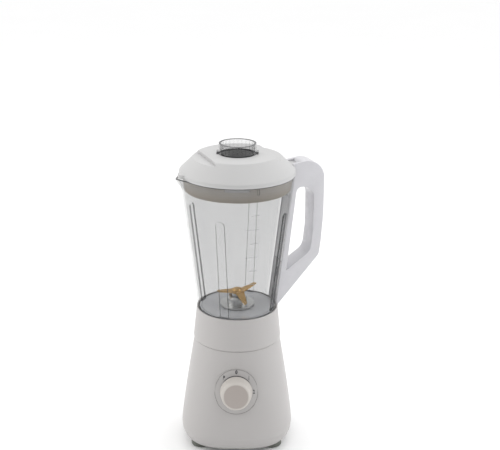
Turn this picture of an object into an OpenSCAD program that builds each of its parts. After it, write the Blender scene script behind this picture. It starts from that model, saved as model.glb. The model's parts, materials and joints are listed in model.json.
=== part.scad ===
// Countertop blender: motor base, jar with blade unit, lid and measuring cup.
// Millimetres, +Z up. The origin is on the drive axis, at the plane the feet stand on.
// The dial faces -Y. The jar, its handle and the lid share one turned axis.

/* [Base] */
// Height of the shoulder that the jar collar stands on
shoulder_z = 137.5; // [125:0.5:170]
// Half width of the base where it is widest
base_wide = 70.6; // [66:0.1:86]
// Height of the widest line
base_wide_z = 24; // [18:0.5:24]
// Half width of the flat underside
base_foot_half = 56.5; // [54:0.5:64]
// Radius of the base at its round shoulder
base_top_r = 54.1; // [54:0.1:58]
// Height of the underside above the table
base_bottom_z = 6; // [5:0.5:8]
// Height of the seam between housing and bottom cover
seam_z = 24.5; // [24.5:0.5:30]
// How square the plan is low down, as a superellipse power
square_power = 2.8; // [2.5:0.1:4]
// How far the sides bulge above the widest line, as a share of the narrowing
side_bulge = 0.06; // [0:0.01:0.12]
// Wall of the housing, cover and deck
shell = 2.6; // [2:0.1:3.2]
// Diameter of a rubber foot
foot_d = 25; // [20:1:26]
// Distance of each foot from the drive axis, along X
foot_x = 45; // [42:1:46]
// Distance of each foot from the drive axis, along Y
foot_y = 34; // [30:1:36]
// Distance of each cover screw from the drive axis
screw_r = 54; // [52:1:55]
// Height of a rubber foot, of which a part sits in its pocket
foot_h = 12; // [10:1:14]

/* [Deck] */
// Radius of the raised deck inside the collar
deck_r = 51.4; // [50:0.1:51.4]
// Height of the deck above the shoulder
deck_rise = 6; // [5:0.5:8]
// Radius of the shallow dish in the deck
dish_r = 38; // [32:1:42]
// Depth of the dish
dish_depth = 2; // [1:0.5:2.5]
// Number of bayonet entries
bayonets = 3; // [2:1:4]
// Azimuth of the front bayonet entry
bayonet_az = -75; // [-90:1:-60]
// Width of a bayonet lug
lug_w = 10; // [8:1:12]

/* [Dial and switch] */
// Height of the dial centre
dial_z = 88; // [80:1:100]
// Radius of the raised dial disc
dial_r = 29; // [26:0.5:32]
// Height of the dial disc over the housing
dial_rise = 1; // [0.6:0.1:1.6]
// Radius of the knob at its foot
knob_r = 20; // [18:0.5:24]
// Radius of the knob's face
knob_face_r = 17; // [14:0.5:20]
// How far the knob stands out from the dial disc
knob_h = 19; // [14:1:24]
// Diameter of the switch spindle
spindle_d = 6; // [5:0.5:8]

/* [Motor] */
// Diameter of the motor shaft
shaft_d = 8; // [6:0.5:10]
// Outer diameter of the stator stack
stator_d = 68; // [60:1:72]
// Height of the stator stack
stator_h = 34; // [26:1:36]
// Diameter of the armature
armature_d = 39.6; // [34:0.2:40]
// Air gap between armature and stator
air_gap = 0.6; // [0.4:0.1:1]
// Diameter of the cooling fan
fan_d = 72; // [60:1:80]
// Outer diameter of each ball bearing
bearing_d = 22; // [18:1:24]
// Width of each ball bearing
bearing_w = 7; // [5:1:9]

/* [Drive coupling] */
// Outer diameter of the cup coupling on the base
cup_coupling_d = 33; // [31:0.5:36]
// Height of the cup coupling
cup_coupling_h = 14.4; // [12:0.2:18]
// Wall of the cup coupling
cup_coupling_wall = 2.4; // [2:0.1:3]
// Number of teeth
teeth = 12; // [8:1:16]
// Depth of a tooth
tooth_depth = 1.4; // [1:0.1:1.8]
// Width of a tooth
tooth_w = 2; // [1.6:0.1:2.4]

/* [Jar] */
// Azimuth of the handle; the spout is opposite
handle_az = 21; // [0:1:40]
// Height of the white collar
collar_h = 41; // [36:0.5:50]
// Radius of the collar at its foot
collar_foot_r = 55; // [54.8:0.1:58]
// Radius of the collar at its top
collar_top_r = 50.9; // [50.4:0.1:53]
// Height of the clear wall above the collar
glass_h = 172; // [140:1:210]
// Outer radius of the clear wall at the collar
glass_low_r = 49.3; // [48:0.1:49.4]
// Outer radius of the clear wall at the rim
rim_r = 70; // [64:0.5:78]
// Thickness of the clear wall
glass = 2.5; // [2:0.1:3]
// Thickness of the jar floor
floor_t = 3; // [2.5:0.5:4]
// Number of flow ribs inside the jar
ribs = 4; // [3:1:6]
// Width of a flow rib
rib_w = 11; // [8:1:14]
// Azimuth of the first flow rib from the handle
rib_turn = 50; // [40:1:50]
// Depth of a flow rib
rib_depth = 2.2; // [1.5:0.1:3]
// Distance from the rim to the top of a rib
rib_drop = 44; // [30:1:60]
// Reach of the spout tip beyond the rim
spout_reach = 8; // [5:0.5:12]
// Height of the spout
spout_h = 18; // [10:1:22]
// Angle from the middle of the spout to each side of it, at the rim
spout_half_angle = 20; // [12:1:24]

/* [Handle] */
// Width of the handle
handle_w = 26; // [22:1:30]
// Radius of the grip's outer face, from the drive axis
grip_out = 110; // [100:1:125]
// Radial thickness of the grip
grip_t = 14; // [12:1:16]
// Thickness of the strip that lies on the jar wall
strip_t = 6.5; // [6:0.1:8]
// Height of the handle's head above the rim
head_rise = 10.5; // [8:0.5:14]

/* [Blades] */
// Reach of a blade tip from the drive axis
blade_reach = 26; // [20:1:30]
// Thickness of the blade steel
blade_t = 1.6; // [1.2:0.1:2]
// Diameter of the blade hub
hub_d = 25.6; // [22:0.2:28]
// Height of the blades' seat above the jar floor
blade_seat = 16.9; // [15:0.1:20]

/* [Lid and cup] */
// Height of the lid's rim band
band_h = 5.5; // [4:0.5:8]
// Height of the sloped dome over the band
dome_h = 19; // [14:1:24]
// Radius of the flat top of the lid
lid_top_r = 49.5; // [44:0.5:54]
// Depth of the skirt and its seal below the rim
skirt_h = 18.7; // [14:0.1:22]
// Wall of the lid
lid_wall = 2.4; // [2:0.1:3]
// Radius of the hole for the cup
cup_hole_r = 22.1; // [20:0.1:26]
// Distance of each finger pocket's wall from the centre
pocket_u = 39.4; // [34:0.2:44]
// Depth of a finger pocket
pocket_depth = 4; // [2:0.5:5]
// Height of the cup above the lid
cup_rise = 13; // [10:1:20]
// Height of the cup below the lid's top
cup_drop = 16; // [10:1:18]
// Wall of the cup
cup_wall = 1.6; // [1.2:0.1:2]

/* [Fits] */
// Radial running clearance of a turning or sliding piece
run = 0.05; // [0.02:0.01:0.08]
// Gap between pieces that lift apart
gap = 0.35; // [0.3:0.05:0.5]
// Gap between pieces that are fastened together
seat_gap = 0.1; // [0.05:0.05:0.2]

/* [Hidden] */
$fn = 96;
eps = 0.01;

// Base outline
deck_z = shoulder_z + deck_rise;
plate_z = shoulder_z - shell;
plate_t = 4;
plate_hole_r = deck_r - 2;
shaft_r = shaft_d / 2;
bore_r = shaft_r + run;

inlet_z = 37;
inlet_plug_r = 6;
inlet_flange_r = 8;
// Foot of each screw post, clear of the cups that hold the feet
post_z = foot_h + shell + 0.5;
post_top_z = 62;
dial_y = -base_half(dial_z);
dial_tilt = atan((base_half(dial_z - dial_r / 2) - base_half(dial_z + dial_r / 2)) / dial_r);
bushing_r = 4.8;
nut_r = 8;

// Motor stack, from the fan up
fan_z = 12;
fan_h = 10;
low_bearing_z = 26;
comm_z = 38;
comm_h = 14;
comm_r = 11;
stator_z = 60;
top_bracket_z = stator_z + stator_h + 6;
bracket_t = 5;
bracket_w = 22;
bracket_az = -45;
brush_z = low_bearing_z + 5 + bracket_t;
bolt_r = stator_d / 2 - 5;
mount_r = stator_d / 2 + 9;
mount_h = 4;
bolt_d = 4;
coupling_boss_z = deck_z + 3.7;
coupling_z = coupling_boss_z + 0.4;
coupling_top = coupling_z + cup_coupling_h;
coupling_floor = coupling_z + 3.9;
cup_coupling_r = cup_coupling_d / 2;
cup_coupling_in = cup_coupling_r - cup_coupling_wall;
driven_z = coupling_floor + 0.8;
driven_h = cup_coupling_h - 5;

// Jar levels; everything on the jar is placed from these
collar_z = shoulder_z;
collar_top = collar_z + collar_h;
rim_z = collar_top + glass_h;
floor_z = collar_top - floor_t;
wall_slope = (rim_r - glass_low_r) / glass_h;
web_z = collar_z + 22.5;
web_t = 3;
web_hole_r = cup_coupling_r + 3.5;
skirt_r = 45;
ledge_clear_r = skirt_r + 0.9;
handle_tongue_w = 9;
back_strip_w = 20;
collar_in_r = deck_r + gap + 0.15;
boss_pitch_r = 38;
boss_r = 4.5;
stem_r = 9;
bush_r = 6;
gasket_t = 1.2;
flange_t = 2;
hub_top = floor_z + floor_t + 12.5;
blade_z = collar_top + blade_seat;

// Safety link, in the handle's own plane: u is the distance from the drive axis
link_w = 2.2;
link_bore_r = 2;
pin_boss_r = 2.9;
link_u = 48.4;
link_stroke = 3;
link_low_z = deck_z - 3.2;
link_flange_z = deck_z + 5.5;
link_bend_z = collar_z + 29;
link_join_z = collar_top + 2.5;
link_top_z = rim_z - 1.5;
pin_d = 3;
pin_top_z = link_low_z - link_stroke - 0.4;
pin_l = 19;
pin_guide_z = shoulder_z - 10;
switch_z = pin_guide_z - 24;
switch_h = 10;

// Lid levels
lid_top = rim_z + band_h + dome_h;
band_r = rim_r + 0.7;
tab_w = 16;
tab_reach = 7.5;
head_u = rim_r - 1.7;
seal_t = 2.3;
cup_r = cup_hole_r - gap;

// Outer radius of the clear wall at a height
function glass_r(z) = glass_low_r + (z - collar_top) * wall_slope;

// Points of an arc, in the plane of an outline
function arc(cx, cy, r, a0, a1, steps = 10) =
  [for (i = [0:steps]) let (a = a0 + (a1 - a0) * i / steps) [cx + r * cos(a), cy + r * sin(a)]];

// Half width of the base at a height: rounded under the widest line, then narrowing to the shoulder
function base_half(z) = z <= base_wide_z
  ? base_foot_half + (base_wide - base_foot_half)
    * sqrt(max(0, 1 - pow((base_wide_z - z) / (base_wide_z - base_bottom_z), 2)))
  : let (t = (z - base_wide_z) / (shoulder_z - base_wide_z))
    base_top_r + (base_wide - base_top_r) * (1 - t + side_bulge * sin(180 * pow(t, 0.7)));

// How square the base is at a height: round at the shoulder
function base_power(z) =
  2 + (square_power - 2) * min(1, max(0, (shoulder_z - z) / (shoulder_z - base_wide_z)));

// A superellipse outline
function squircle(half, power, count = 72) = [for (i = [0:count - 1])
  let (a = 360 * i / count, c = cos(a), s = sin(a),
       r = half / pow(pow(abs(c), power) + pow(abs(s), power), 1 / power))
  [r * c, r * s]];

// A closed skin through the base outline at each height, grown outwards
module base_loft(heights, grow, count = 72) {
  rows = [for (z = heights) [for (p = squircle(base_half(z) + grow, base_power(z), count))
    [p[0], p[1], z]]];
  last = len(heights) - 1;
  polyhedron(
    points = [for (row = rows, p = row) p],
    faces = concat(
      [[for (i = [0:count - 1]) i]],
      [for (k = [0:last - 1], i = [0:count - 1]) let (j = (i + 1) % count)
        [k * count + j, k * count + i, (k + 1) * count + i]],
      [for (k = [0:last - 1], i = [0:count - 1]) let (j = (i + 1) % count)
        [k * count + j, (k + 1) * count + i, (k + 1) * count + j]],
      [[for (i = [count - 1:-1:0]) last * count + i]]));
}

module ring(r_out, r_in, h) {
  difference() {
    cylinder(r = r_out, h = h);
    translate([0, 0, -eps]) cylinder(r = r_in, h = h + 2 * eps);
  }
}

module tube_z(r_out, r_in, z0, z1) {
  translate([0, 0, z0]) ring(r_out, r_in, z1 - z0);
}

module rod_z(r, z0, z1) {
  translate([0, 0, z0]) cylinder(r = r, h = z1 - z0);
}

// Copies turned evenly round the drive axis
module around(count, first = 0) {
  for (k = [0:count - 1]) rotate([0, 0, first + 360 * k / count]) children();
}

// Copies at the four feet
module at_feet() {
  for (x = [-1, 1], y = [-1, 1]) translate([x * foot_x, y * foot_y, 0]) children();
}

// Places of the screws that hold the bottom cover
module at_cover_screws() {
  for (a = [60, 120, 240, 300]) rotate([0, 0, a]) translate([screw_r, 0, 0]) children();
}

// Local +Z points out of the dial, along the spindle
module at_dial() {
  translate([0, dial_y, dial_z]) rotate([90 - dial_tilt, 0, 0]) children();
}

// An outline in the handle's plane (u, z), given a width across it
module in_handle_plane(width) {
  rotate([0, 0, handle_az]) translate([0, width / 2, 0]) rotate([90, 0, 0])
    linear_extrude(width) children();
}

module at_link() {
  rotate([0, 0, handle_az]) translate([link_u, 0, 0]) children();
}

// A pan head screw pointing up, with the underside of its head at z = 0
module screw_up(d, length) {
  union() {
    translate([0, 0, -d * 0.55]) difference() {
      cylinder(d = 2 * d, h = d * 0.55);
      for (a = [0, 90]) rotate([0, 0, a]) translate([-d * 0.6, -d * 0.1, -eps])
        cube([d * 1.2, d * 0.2, d * 0.3]);
    }
    cylinder(d = d, h = length);
  }
}

// A coil spring swept along its helix
module spring(r, wire, length, turns, sides = 6, steps = 12) {
  count = turns * steps;
  polyhedron(
    points = [for (i = [0:count], k = [0:sides - 1])
      let (a = 360 * i / steps, b = 360 * k / sides, q = r + wire / 2 * cos(b))
      [q * cos(a), q * sin(a), wire / 2 * (1 + sin(b)) + (length - wire) * i / count]],
    faces = concat(
      [[for (k = [0:sides - 1]) k]],
      [for (i = [0:count - 1], k = [0:sides - 1]) let (n = (k + 1) % sides)
        [i * sides + n, i * sides + k, (i + 1) * sides + k]],
      [for (i = [0:count - 1], k = [0:sides - 1]) let (n = (k + 1) % sides)
        [i * sides + n, (i + 1) * sides + k, (i + 1) * sides + n]],
      [[for (k = [sides - 1:-1:0]) count * sides + k]]));
}

// ---------------------------------------------------------------- base

low_heights = [for (k = [0:5]) base_bottom_z + (base_wide_z - base_bottom_z) * (1 - cos(18 * k))];
high_heights = [for (k = [1:8]) base_wide_z + (shoulder_z - base_wide_z) * k / 8];

module rubber_feet() color("dimgray") at_feet() rotate_extrude() polygon(concat(
  [[0, 0]], arc(foot_d / 2 - 1.5, 1.5, 1.5, -90, 0, 4),
  [[foot_d / 2, foot_h], [0, foot_h]]));

module bottom_cover() color("gainsboro") difference() {
  union() {
    difference() {
      union() {
        base_loft(concat(low_heights, [seam_z]), 0);
        // Lip that locates the housing
        base_loft([seam_z - 3, seam_z + 3], -shell - 4 * seat_gap);
      }
      base_loft([base_bottom_z + shell, base_bottom_z + 5, 16, base_wide_z, seam_z + 4],
        -shell - 2);
    }
    // Cups that hold the feet
    intersection() {
      base_loft([base_bottom_z + 1, base_bottom_z + 5, 16, base_wide_z], -1.2);
      at_feet() rod_z(foot_d / 2 + shell, base_bottom_z + 1.5, foot_h + shell);
    }
    at_cover_screws() rod_z(boss_r + 1, base_bottom_z + 1.5, post_z);
  }
  at_feet() rod_z(foot_d / 2, 0, foot_h);
  at_cover_screws() {
    rod_z(boss_r, 0, base_bottom_z + 3);
    rod_z(bolt_d / 2 + 0.2, 0, post_z + 1);
  }
  // Air slots under the fan
  around(10) for (u = [14, 24]) translate([u, -1.5, 0]) cube([8, 3, base_bottom_z + shell + 1]);
}

module cover_screws() color("silver") at_cover_screws()
  translate([0, 0, base_bottom_z + 3]) screw_up(bolt_d, 16);

module base_housing() color("whitesmoke") {
  outer = concat([seam_z], [for (z = high_heights) if (z > seam_z) z]);
  inner = concat([seam_z - 1], [for (z = high_heights) if (z > seam_z && z < plate_z - plate_t) z],
    [plate_z - plate_t]);
  difference() {
    union() {
      difference() {
        base_loft(outer, 0);
        base_loft(inner, -shell);
      }
      // Raised dial disc
      intersection() {
        base_loft([for (z = outer) if (z > dial_z - 45 && z < dial_z + 45) z], dial_rise);
        at_dial() rod_z(dial_r, -shell, 8);
      }
      // Screw posts with ribs to the wall
      at_cover_screws() rod_z(boss_r, post_z, post_top_z);
      intersection() {
        base_loft(outer, -1);
        at_cover_screws() translate([0, -1.2, seam_z + 4]) cube([26, 2.4, 30]);
      }
    }
    // Opening for the deck
    rod_z(plate_hole_r, plate_z - plate_t - 1, shoulder_z + 1);
    rod_z(deck_r + seat_gap, plate_z, shoulder_z + 1);
    at_link() rod_z(pin_boss_r + gap, plate_z - plate_t - 1, plate_z + 1);
    at_cover_screws() rod_z(bolt_d / 2, 0, post_z + 20);
    // Hole for the switch bushing
    at_dial() rod_z(bushing_r + 2 * seat_gap, -12, 12);
    // Hole for the cord inlet
    translate([0, 0, inlet_z]) rotate([-90, 0, 0]) {
      rod_z(inlet_plug_r, 30, base_wide + 5);
      rod_z(inlet_flange_r + seat_gap, base_half(inlet_z) + 0.2, base_wide + 5);
    }
  }
}

module top_deck() color("whitesmoke") difference() {
  floor_low = deck_z - dish_depth - shell;
  union() {
    rotate_extrude() polygon([[shaft_r + 3, floor_low], [deck_r - 5, floor_low],
      [deck_r - 5, plate_z], [deck_r, plate_z], [deck_r, deck_z], [dish_r, deck_z],
      [dish_r, deck_z - dish_depth], [cup_coupling_r + 1.2, deck_z - dish_depth],
      [cup_coupling_r - 1, coupling_boss_z], [shaft_r + 3, coupling_boss_z]]);
    at_link() rod_z(pin_boss_r, pin_guide_z, deck_z + 1);
    // Posts for the motor mounts
    around(2, bracket_az) translate([mount_r, 0, 0])
      rod_z(5, top_bracket_z + bracket_t + mount_h, floor_low + 1);
    // Post beside the interlock
    rotate([0, 0, handle_az + 11]) translate([deck_r - 2, 0, 0]) rod_z(0.8, deck_z - 1, deck_z + 2.5);
    // Arm that carries the interlock switch
    at_link() translate([-8, 4, switch_z]) cube([8, 2, floor_low + 1 - switch_z]);
  }
  around(2, bracket_az) translate([mount_r, 0, 0])
    rod_z(bolt_d / 2, top_bracket_z, top_bracket_z + bracket_t + mount_h + 12);
  at_link() {
    rod_z(pin_d / 2 + run, pin_guide_z - 1, pin_top_z + 0.5);
    rod_z(link_bore_r, pin_top_z, deck_z + 2);
  }
  // Bayonet entries and the slots beside them
  around(bayonets, bayonet_az) {
    translate([deck_r - 3, -lug_w / 2 - 2, shoulder_z - 0.5]) cube([10, lug_w + 4, deck_rise + 1]);
    translate([deck_r - 2.4, -lug_w * 2, shoulder_z + 0.8]) cube([10, lug_w * 2, 2.6]);
  }
}

module shaft_seal() color("dimgray")
  tube_z(shaft_r + 3, bore_r, coupling_boss_z - 5, coupling_boss_z - 1);

// ---------------------------------------------------------------- motor

module at_bolts() {
  around(2, bracket_az) translate([bolt_r, 0, 0]) children();
}

module motor_stator() color("slategray") difference() {
  rod_z(stator_d / 2, stator_z, stator_z + stator_h);
  rod_z(armature_d / 2 + air_gap, stator_z - 1, stator_z + stator_h + 1);
  at_bolts() rod_z(bolt_d / 2 + 0.1, stator_z - 1, stator_z + stator_h + 1);
  // Flats on two sides
  for (s = [0, 180]) rotate([0, 0, s + bracket_az + 90]) translate([stator_d / 2 - 3, -40, 0])
    cube([20, 80, 200]);
}

module field_coils() color("chocolate")
  for (s = [0, 180], z = [stator_z - 5, stator_z + stator_h])
    rotate([0, 0, s + bracket_az + 35]) rotate_extrude(angle = 110)
      translate([armature_d / 2 + air_gap + 0.6, z]) square([8, 5]);

module bearing_boss(z0, z1, pocket_z) difference() {
  rod_z(bearing_d / 2 + 3, z0, z1);
  rod_z(bearing_d / 2, pocket_z, pocket_z + bearing_w);
  rod_z(shaft_r + 2, z0 - 1, z1 + 1);
}

module upper_bracket() color("silver") {
  difference() {
    rotate([0, 0, bracket_az]) translate([-mount_r - 8, -bracket_w / 2, top_bracket_z])
      cube([2 * mount_r + 16, bracket_w, bracket_t]);
    rod_z(bearing_d / 2 + 3 - eps, top_bracket_z - 1, top_bracket_z + bracket_t + 1);
    at_bolts() rod_z(bolt_d / 2 + 0.1, top_bracket_z - 1, top_bracket_z + bracket_t + 1);
    around(2, bracket_az) translate([mount_r, 0, 0])
      rod_z(bolt_d / 2 + 0.1, top_bracket_z - 1, top_bracket_z + bracket_t + 1);
  }
  bearing_boss(top_bracket_z, top_bracket_z + bearing_w + 3, top_bracket_z + 1.5);
}

module upper_bearing() color("lightgray") tube_z(bearing_d / 2, bore_r,
  top_bracket_z + 1.5, top_bracket_z + 1.5 + bearing_w);

module lower_bracket() color("silver") {
  difference() {
    union() {
      rotate([0, 0, bracket_az]) translate([-bolt_r - 7, -bracket_w / 2, low_bearing_z + 5])
        cube([2 * bolt_r + 14, bracket_w, bracket_t]);
      rotate([0, 0, bracket_az + 90]) translate([-30, -8, low_bearing_z + 5])
        cube([60, 16, bracket_t]);
      // Pillars up to the stator
      at_bolts() rod_z(4, low_bearing_z + 5, stator_z);
    }
    rod_z(bearing_d / 2 + 3 - eps, low_bearing_z, low_bearing_z + 12);
    at_bolts() rod_z(bolt_d / 2 + 0.1, low_bearing_z, stator_z + 1);
  }
  bearing_boss(low_bearing_z, low_bearing_z + bearing_w + 3, low_bearing_z + 1.5);
}

module lower_bearing() color("lightgray") tube_z(bearing_d / 2, bore_r,
  low_bearing_z + 1.5, low_bearing_z + 1.5 + bearing_w);

module motor_bolts() color("silver") at_bolts() translate([0, 0, low_bearing_z + 5])
  screw_up(bolt_d, top_bracket_z + bracket_t - low_bearing_z - 5);

module motor_mounts() color("dimgray") around(2, bracket_az) translate([mount_r, 0, 0])
  tube_z(7, bolt_d / 2 + 0.1, top_bracket_z + bracket_t, top_bracket_z + bracket_t + mount_h);

module mount_screws() color("silver") around(2, bracket_az)
  translate([mount_r, 0, top_bracket_z]) screw_up(bolt_d, bracket_t + mount_h + 10);

module at_brushes() {
  around(2, bracket_az + 90) children();
}

module brush_holders() color("goldenrod") at_brushes() difference() {
  translate([comm_r + 2, -5, brush_z]) cube([17, 10, 12]);
  translate([comm_r, -3, brush_z + 3]) cube([17, 6, 6]);
}

module carbon_brushes() color("darkslategray") at_brushes()
  intersection() {
    translate([comm_r - 2, -3, brush_z + 3]) cube([15, 6, 6]);
    tube_z(40, comm_r + run, brush_z, brush_z + 12);
  }

module motor_shaft() color("lightgray") rod_z(shaft_r, fan_z - 1.5, coupling_floor);

module armature() color("sienna") difference() {
  union() {
    rod_z(armature_d / 2, stator_z, stator_z + stator_h);
    rod_z(armature_d / 2 - 3, stator_z - 4, stator_z + stator_h + 3);
  }
  rod_z(shaft_r, stator_z - 10, stator_z + stator_h + 10);
  around(12) translate([armature_d / 2 - 1.6, -0.8, stator_z - 1]) cube([5, 1.6, stator_h + 2]);
}

module commutator() color("peru") difference() {
  rod_z(comm_r, comm_z, comm_z + comm_h);
  rod_z(shaft_r, comm_z - 1, comm_z + comm_h + 1);
  around(12, 15) translate([comm_r - 0.8, -0.3, comm_z - 1]) cube([3, 0.6, comm_h + 2]);
}

module cooling_fan() color("dimgray") {
  plate = fan_z + fan_h - 1.6;
  rotate_extrude() polygon([[shaft_r, fan_z], [9, fan_z], [9, plate], [fan_d / 2, plate],
    [fan_d / 2, fan_z + fan_h], [shaft_r, fan_z + fan_h]]);
  around(9, 7) translate([8, -0.8, fan_z + 0.5]) cube([fan_d / 2 - 9, 1.6, fan_h - 1.2]);
}

module drive_coupling() color([0.06, 0.06, 0.07]) difference() {
  union() {
    difference() {
      rod_z(cup_coupling_r, coupling_z, coupling_top);
      rod_z(cup_coupling_in, coupling_floor, coupling_top + 1);
    }
    around(teeth) translate([cup_coupling_in - tooth_depth, -tooth_w / 2, coupling_floor - eps])
      cube([tooth_depth + 0.5, tooth_w, cup_coupling_h - 5.5]);
  }
  rod_z(shaft_r, coupling_z - 1, coupling_floor + 1);
  // Grip grooves
  for (k = [0:2]) tube_z(cup_coupling_r + 1, cup_coupling_r - 0.4, coupling_z + 3 + 3.4 * k,
    coupling_z + 3.8 + 3.4 * k);
}

// ---------------------------------------------------------------- switch and dial

module switch_body() color("dimgray") at_dial() difference() {
  union() {
    translate([-15, -15, -20]) cube([30, 30, 15.5]);
    rod_z(bushing_r, -6, 4.5);
  }
  rod_z(spindle_d / 2 + run, -19, 5);
}

module switch_nut() color("silver") at_dial() difference() {
  translate([0, 0, dial_rise + 0.1]) cylinder(r = nut_r, h = 2.4, $fn = 6);
  rod_z(bushing_r, 0, 6);
}

module switch_spindle() color("lightgray") at_dial() rod_z(spindle_d / 2, -18, knob_h - 5);

module speed_knob() color("linen") at_dial() {
  foot = dial_rise + 0.7;
  top = dial_rise + knob_h;
  round_r = 4;
  rotate_extrude() polygon(concat(
    [[spindle_d / 2, top - 6], [spindle_d / 2, foot + 5], [nut_r + 1.5, foot + 5], [nut_r + 1.5, foot],
     [knob_r, foot], [knob_r, foot + 1.5], [knob_r - 0.6, foot + 3]],
    arc(knob_face_r + 1 - round_r, top - round_r, round_r, 8, 90, 6),
    [[0, top], [0, top - 6]]));
}

// ---------------------------------------------------------------- interlock

module interlock_pin() color([0.08, 0.08, 0.08]) at_link() {
  rod_z(pin_d / 2, pin_top_z - pin_l, pin_top_z);
  rod_z(pin_d / 2 + 1.2, pin_guide_z - 1.2, pin_guide_z - 0.2);
}

module interlock_spring() color("silver") at_link() translate([0, 0, switch_z + switch_h + seat_gap])
  spring(2.3, 0.6, pin_guide_z - 1.2 - switch_z - switch_h - 2 * seat_gap, 5);

module interlock_switch() color([0.12, 0.12, 0.13]) at_link()
  translate([-8, -3, switch_z]) difference() {
    cube([13, 7 - seat_gap, switch_h]);
    translate([8, 3, switch_h - 3]) rod_z(pin_d / 2 + 0.3, 0, 4);
    for (x = [2, 11]) translate([x, -1, 3]) rotate([-90, 0, 0]) cylinder(r = 1, h = 9);
  }

module cord_inlet() color("dimgray") {
  y0 = base_half(inlet_z);
  translate([0, 0, inlet_z]) rotate([-90, 0, 0]) difference() {
    union() {
      rod_z(inlet_plug_r - seat_gap, y0 - shell - 4, y0 + 0.5);
      rod_z(inlet_flange_r, y0 + 0.2, y0 + 2.4);
      rod_z(inlet_flange_r - 0.5, y0 - shell - 5, y0 - shell - 1.2);
    }
    rod_z(3.5, 20, 90);
  }
}

// ---------------------------------------------------------------- jar

module wall_cone(inset, z0, z1) {
  translate([0, 0, z0])
    cylinder(r1 = glass_r(z0) - inset, r2 = glass_r(z1) - inset, h = z1 - z0, $fn = 240);
}

module spout_form(inset) {
  lip = 3.2;
  rotate([0, 0, handle_az + 180]) hull() {
    translate([rim_r + spout_reach - lip, 0, rim_z - 1]) cylinder(r = lip - inset, h = 1, $fn = 24);
    for (s = [-1, 1]) rotate([0, 0, spout_half_angle * s]) translate([rim_r - lip - 0.3, 0, rim_z - 1])
      cylinder(r = lip - inset, h = 1, $fn = 24);
    translate([glass_r(rim_z - spout_h) - lip - 0.3, 0, rim_z - spout_h])
      cylinder(r = lip - inset, h = 1, $fn = 24);
  }
}

module jar() color([0.8, 0.82, 0.84, 0.5]) {
  difference() {
    union() {
      wall_cone(0, floor_z, rim_z);
      spout_form(0);
    }
    difference() {
      wall_cone(glass, collar_top, rim_z + 1);
      // Flow ribs stand inside the wall
      around(ribs, handle_az + rib_turn) difference() {
        translate([20, 0, 0]) rotate([90, 0, 90]) linear_extrude(80) union() {
          translate([-rib_w / 2, collar_top - 1]) square([rib_w, glass_h - rib_drop - rib_w / 2 + 1]);
          translate([0, rim_z - rib_drop - rib_w / 2]) circle(d = rib_w);
        }
        wall_cone(glass + rib_depth, collar_top - 1, rim_z + 1);
      }
    }
    spout_form(glass - 0.6);
    rod_z(stem_r + 0.2, floor_z - 1, collar_top + 1);
  }
  // Skirt and screw bosses under the floor
  tube_z(skirt_r, skirt_r - 2.4, web_z + web_t, floor_z + eps);
  around(3, handle_az + 60) translate([boss_pitch_r, 0, 0])
    tube_z(boss_r, bolt_d / 2, web_z + web_t, floor_z + eps);
  // Short keys on the wall below the rim
  for (s = [-90, 90]) rotate([0, 0, handle_az + s]) difference() {
    translate([glass_r(rim_z - 8) - 1, -1, rim_z - 8]) cube([3.2, 2, 7]);
    wall_cone(0.2, rim_z - 20, rim_z);
  }
}

module jar_collar() color("whitesmoke") {
  lip_z = floor_z;
  difference() {
    rotate_extrude() polygon(concat(
      [[collar_in_r, collar_z], [collar_foot_r - 2, collar_z]],
      arc(collar_foot_r - 2, collar_z + 2, 2, -90, 0, 5),
      [[collar_top_r, collar_top], [glass_low_r + seat_gap, collar_top],
       [glass_r(lip_z) + seat_gap, lip_z], [skirt_r + 1, lip_z], [skirt_r + 1, web_z + web_t],
       [web_hole_r, web_z + web_t], [web_hole_r, web_z], [collar_in_r, web_z]]));
    around(3, handle_az + 60) translate([boss_pitch_r, 0, 0])
      rod_z(bolt_d / 2 + 0.2, web_z - 10, web_z + web_t + 1);
    // Way for the safety link and the foot of the handle
    in_handle_plane(handle_tongue_w + 2 * seat_gap) polygon([[skirt_r + 0.5, link_bend_z],
      [80, link_bend_z], [80, collar_top + 1], [skirt_r + 0.5, collar_top + 1]]);
    at_link() rod_z(link_w + 0.5, web_z - 12, link_bend_z + 1);
  }
  // Bayonet lugs
  around(bayonets, bayonet_az) intersection() {
    tube_z(collar_in_r + 1, deck_r - 2.4, collar_z + 1.2, collar_z + 3.2);
    translate([30, -lug_w / 2, collar_z]) cube([40, lug_w, 10]);
  }
}

module collar_screws() color("silver") around(3, handle_az + 60)
  translate([boss_pitch_r, 0, web_z]) screw_up(bolt_d, 12);

// ---------------------------------------------------------------- handle

// Outline of the safety link, or of its way when grown by g, with room to move down by drop
function link_side(g, drop, top) = [
  [link_u + g, link_low_z - drop], [link_u + g, link_bend_z - drop],
  [link_mid(link_join_z) + g, link_join_z - drop], [link_mid(top) + g, top],
  [link_mid(top) - g, top], [link_mid(link_join_z) - g, link_join_z + drop / 4],
  [link_u - g, link_bend_z + drop / 4], [link_u - g, link_low_z - drop]];
function link_mid(z) = glass_r(z) + 3.6;

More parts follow.
